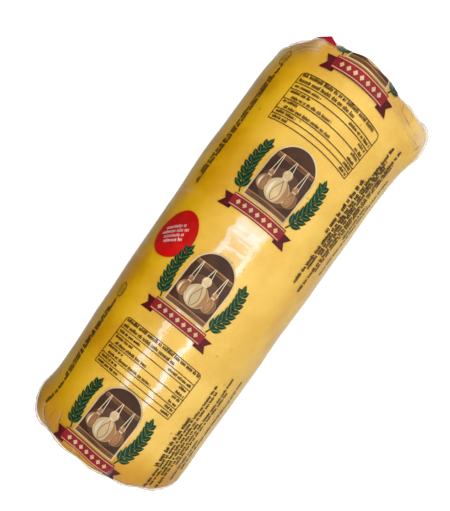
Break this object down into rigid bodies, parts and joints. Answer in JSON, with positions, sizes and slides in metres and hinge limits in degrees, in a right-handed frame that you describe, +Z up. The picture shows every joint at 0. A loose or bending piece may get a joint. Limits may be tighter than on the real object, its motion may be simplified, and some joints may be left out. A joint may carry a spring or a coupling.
{
  "type": "smoked provola cheese log",
  "caption": "Golden log of smoked provola in a clear printed shrink bag, lying on its side, pleated and heat sealed across both ends.",
  "frame": {"origin": "on the flat that the log rests on, under the middle of its length", "axes": "+X along the log towards the end with the larger bag corner, +Z up through the shown side"},
  "size_m": [0.272, 0.1031, 0.0987],
  "materials": {
    "cheese": "smooth golden smoked rind, slightly mottled, seen through a clear glossy film",
    "film": "clear glossy shrink film, wrinkled and a little hazy at its folds",
    "print": "flat inks printed on the clear film: dark brown, red, green and cream"
  },
  "bodies": {
    "root": {"bagged_provola_log": "cheese"}
  },
  "joints": []
}
